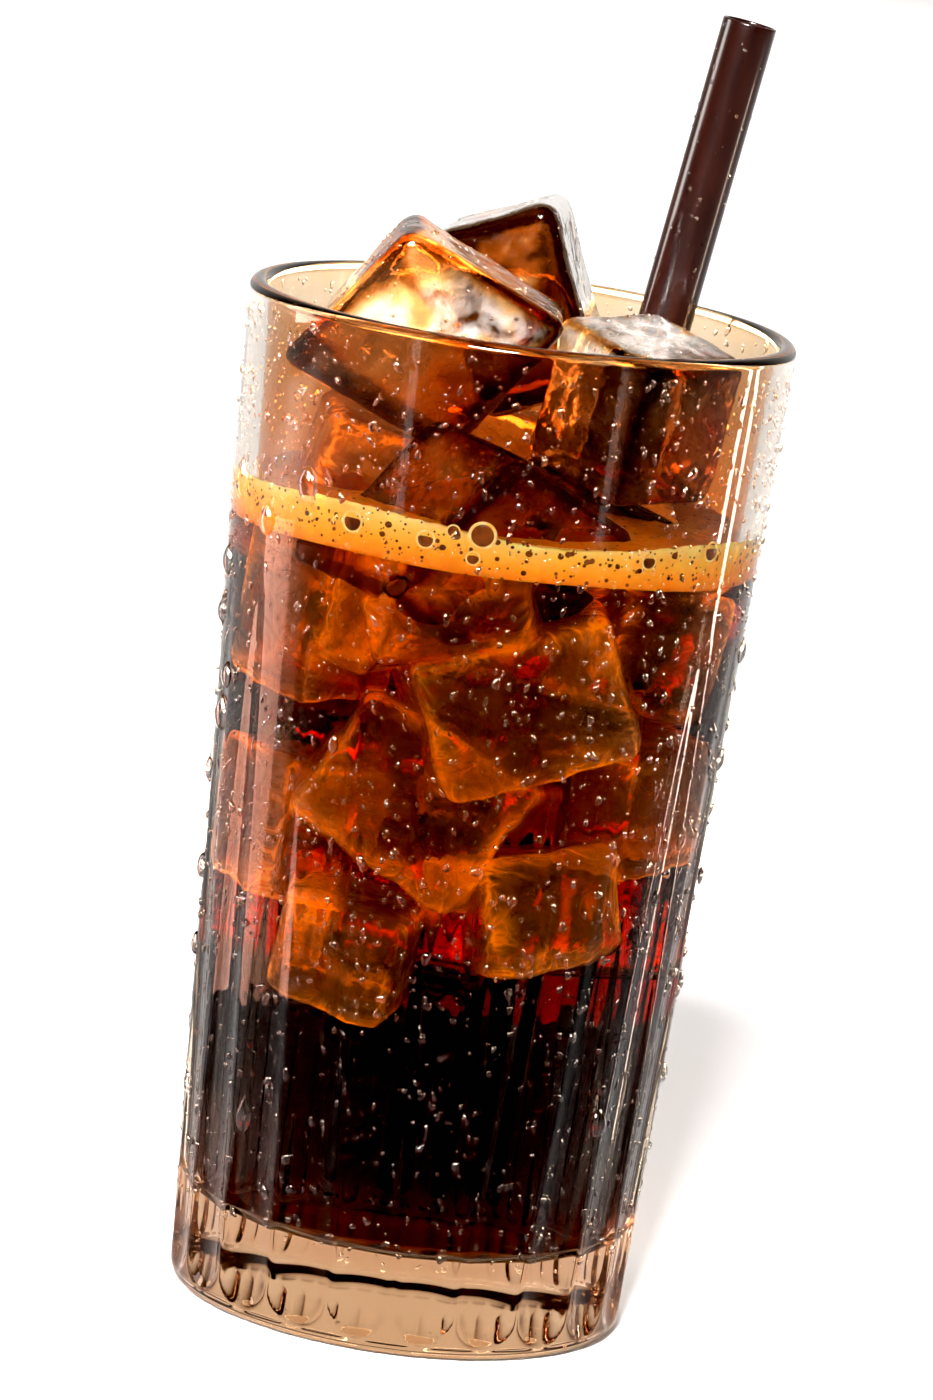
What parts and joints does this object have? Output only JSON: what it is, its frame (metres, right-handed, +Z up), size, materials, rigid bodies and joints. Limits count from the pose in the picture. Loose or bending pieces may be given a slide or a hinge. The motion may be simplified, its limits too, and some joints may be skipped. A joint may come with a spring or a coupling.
{
  "type": "glass of iced coffee",
  "caption": "Fluted highball glass of black iced coffee with golden foam, melting ice blocks piled past the rim and a dark straw leaning on it.",
  "frame": {"origin": "centre of the glass's foot, on the surface it stands on", "axes": "+Z up the glass, -Y towards the viewer, +X to the viewer's right, the side the straw leans to"},
  "size_m": [0.08, 0.08, 0.1926],
  "materials": {
    "glass": "clear pressed glass, polished",
    "coffee": "clear dark red-brown liquid, amber where it is thin",
    "foam": "fine golden froth with open bubbles",
    "ice": "wet ice, clear at the skin and cloudy at the core",
    "straw": "smooth glossy plastic"
  },
  "bodies": {
    "root": {"glass": "glass", "coffee": "coffee", "foam": "foam", "straw": "straw", "ice_left": "ice", "ice_back": "ice", "ice_right": "ice", "ice_front": "ice", "ice_low": "ice"}
  },
  "joints": []
}
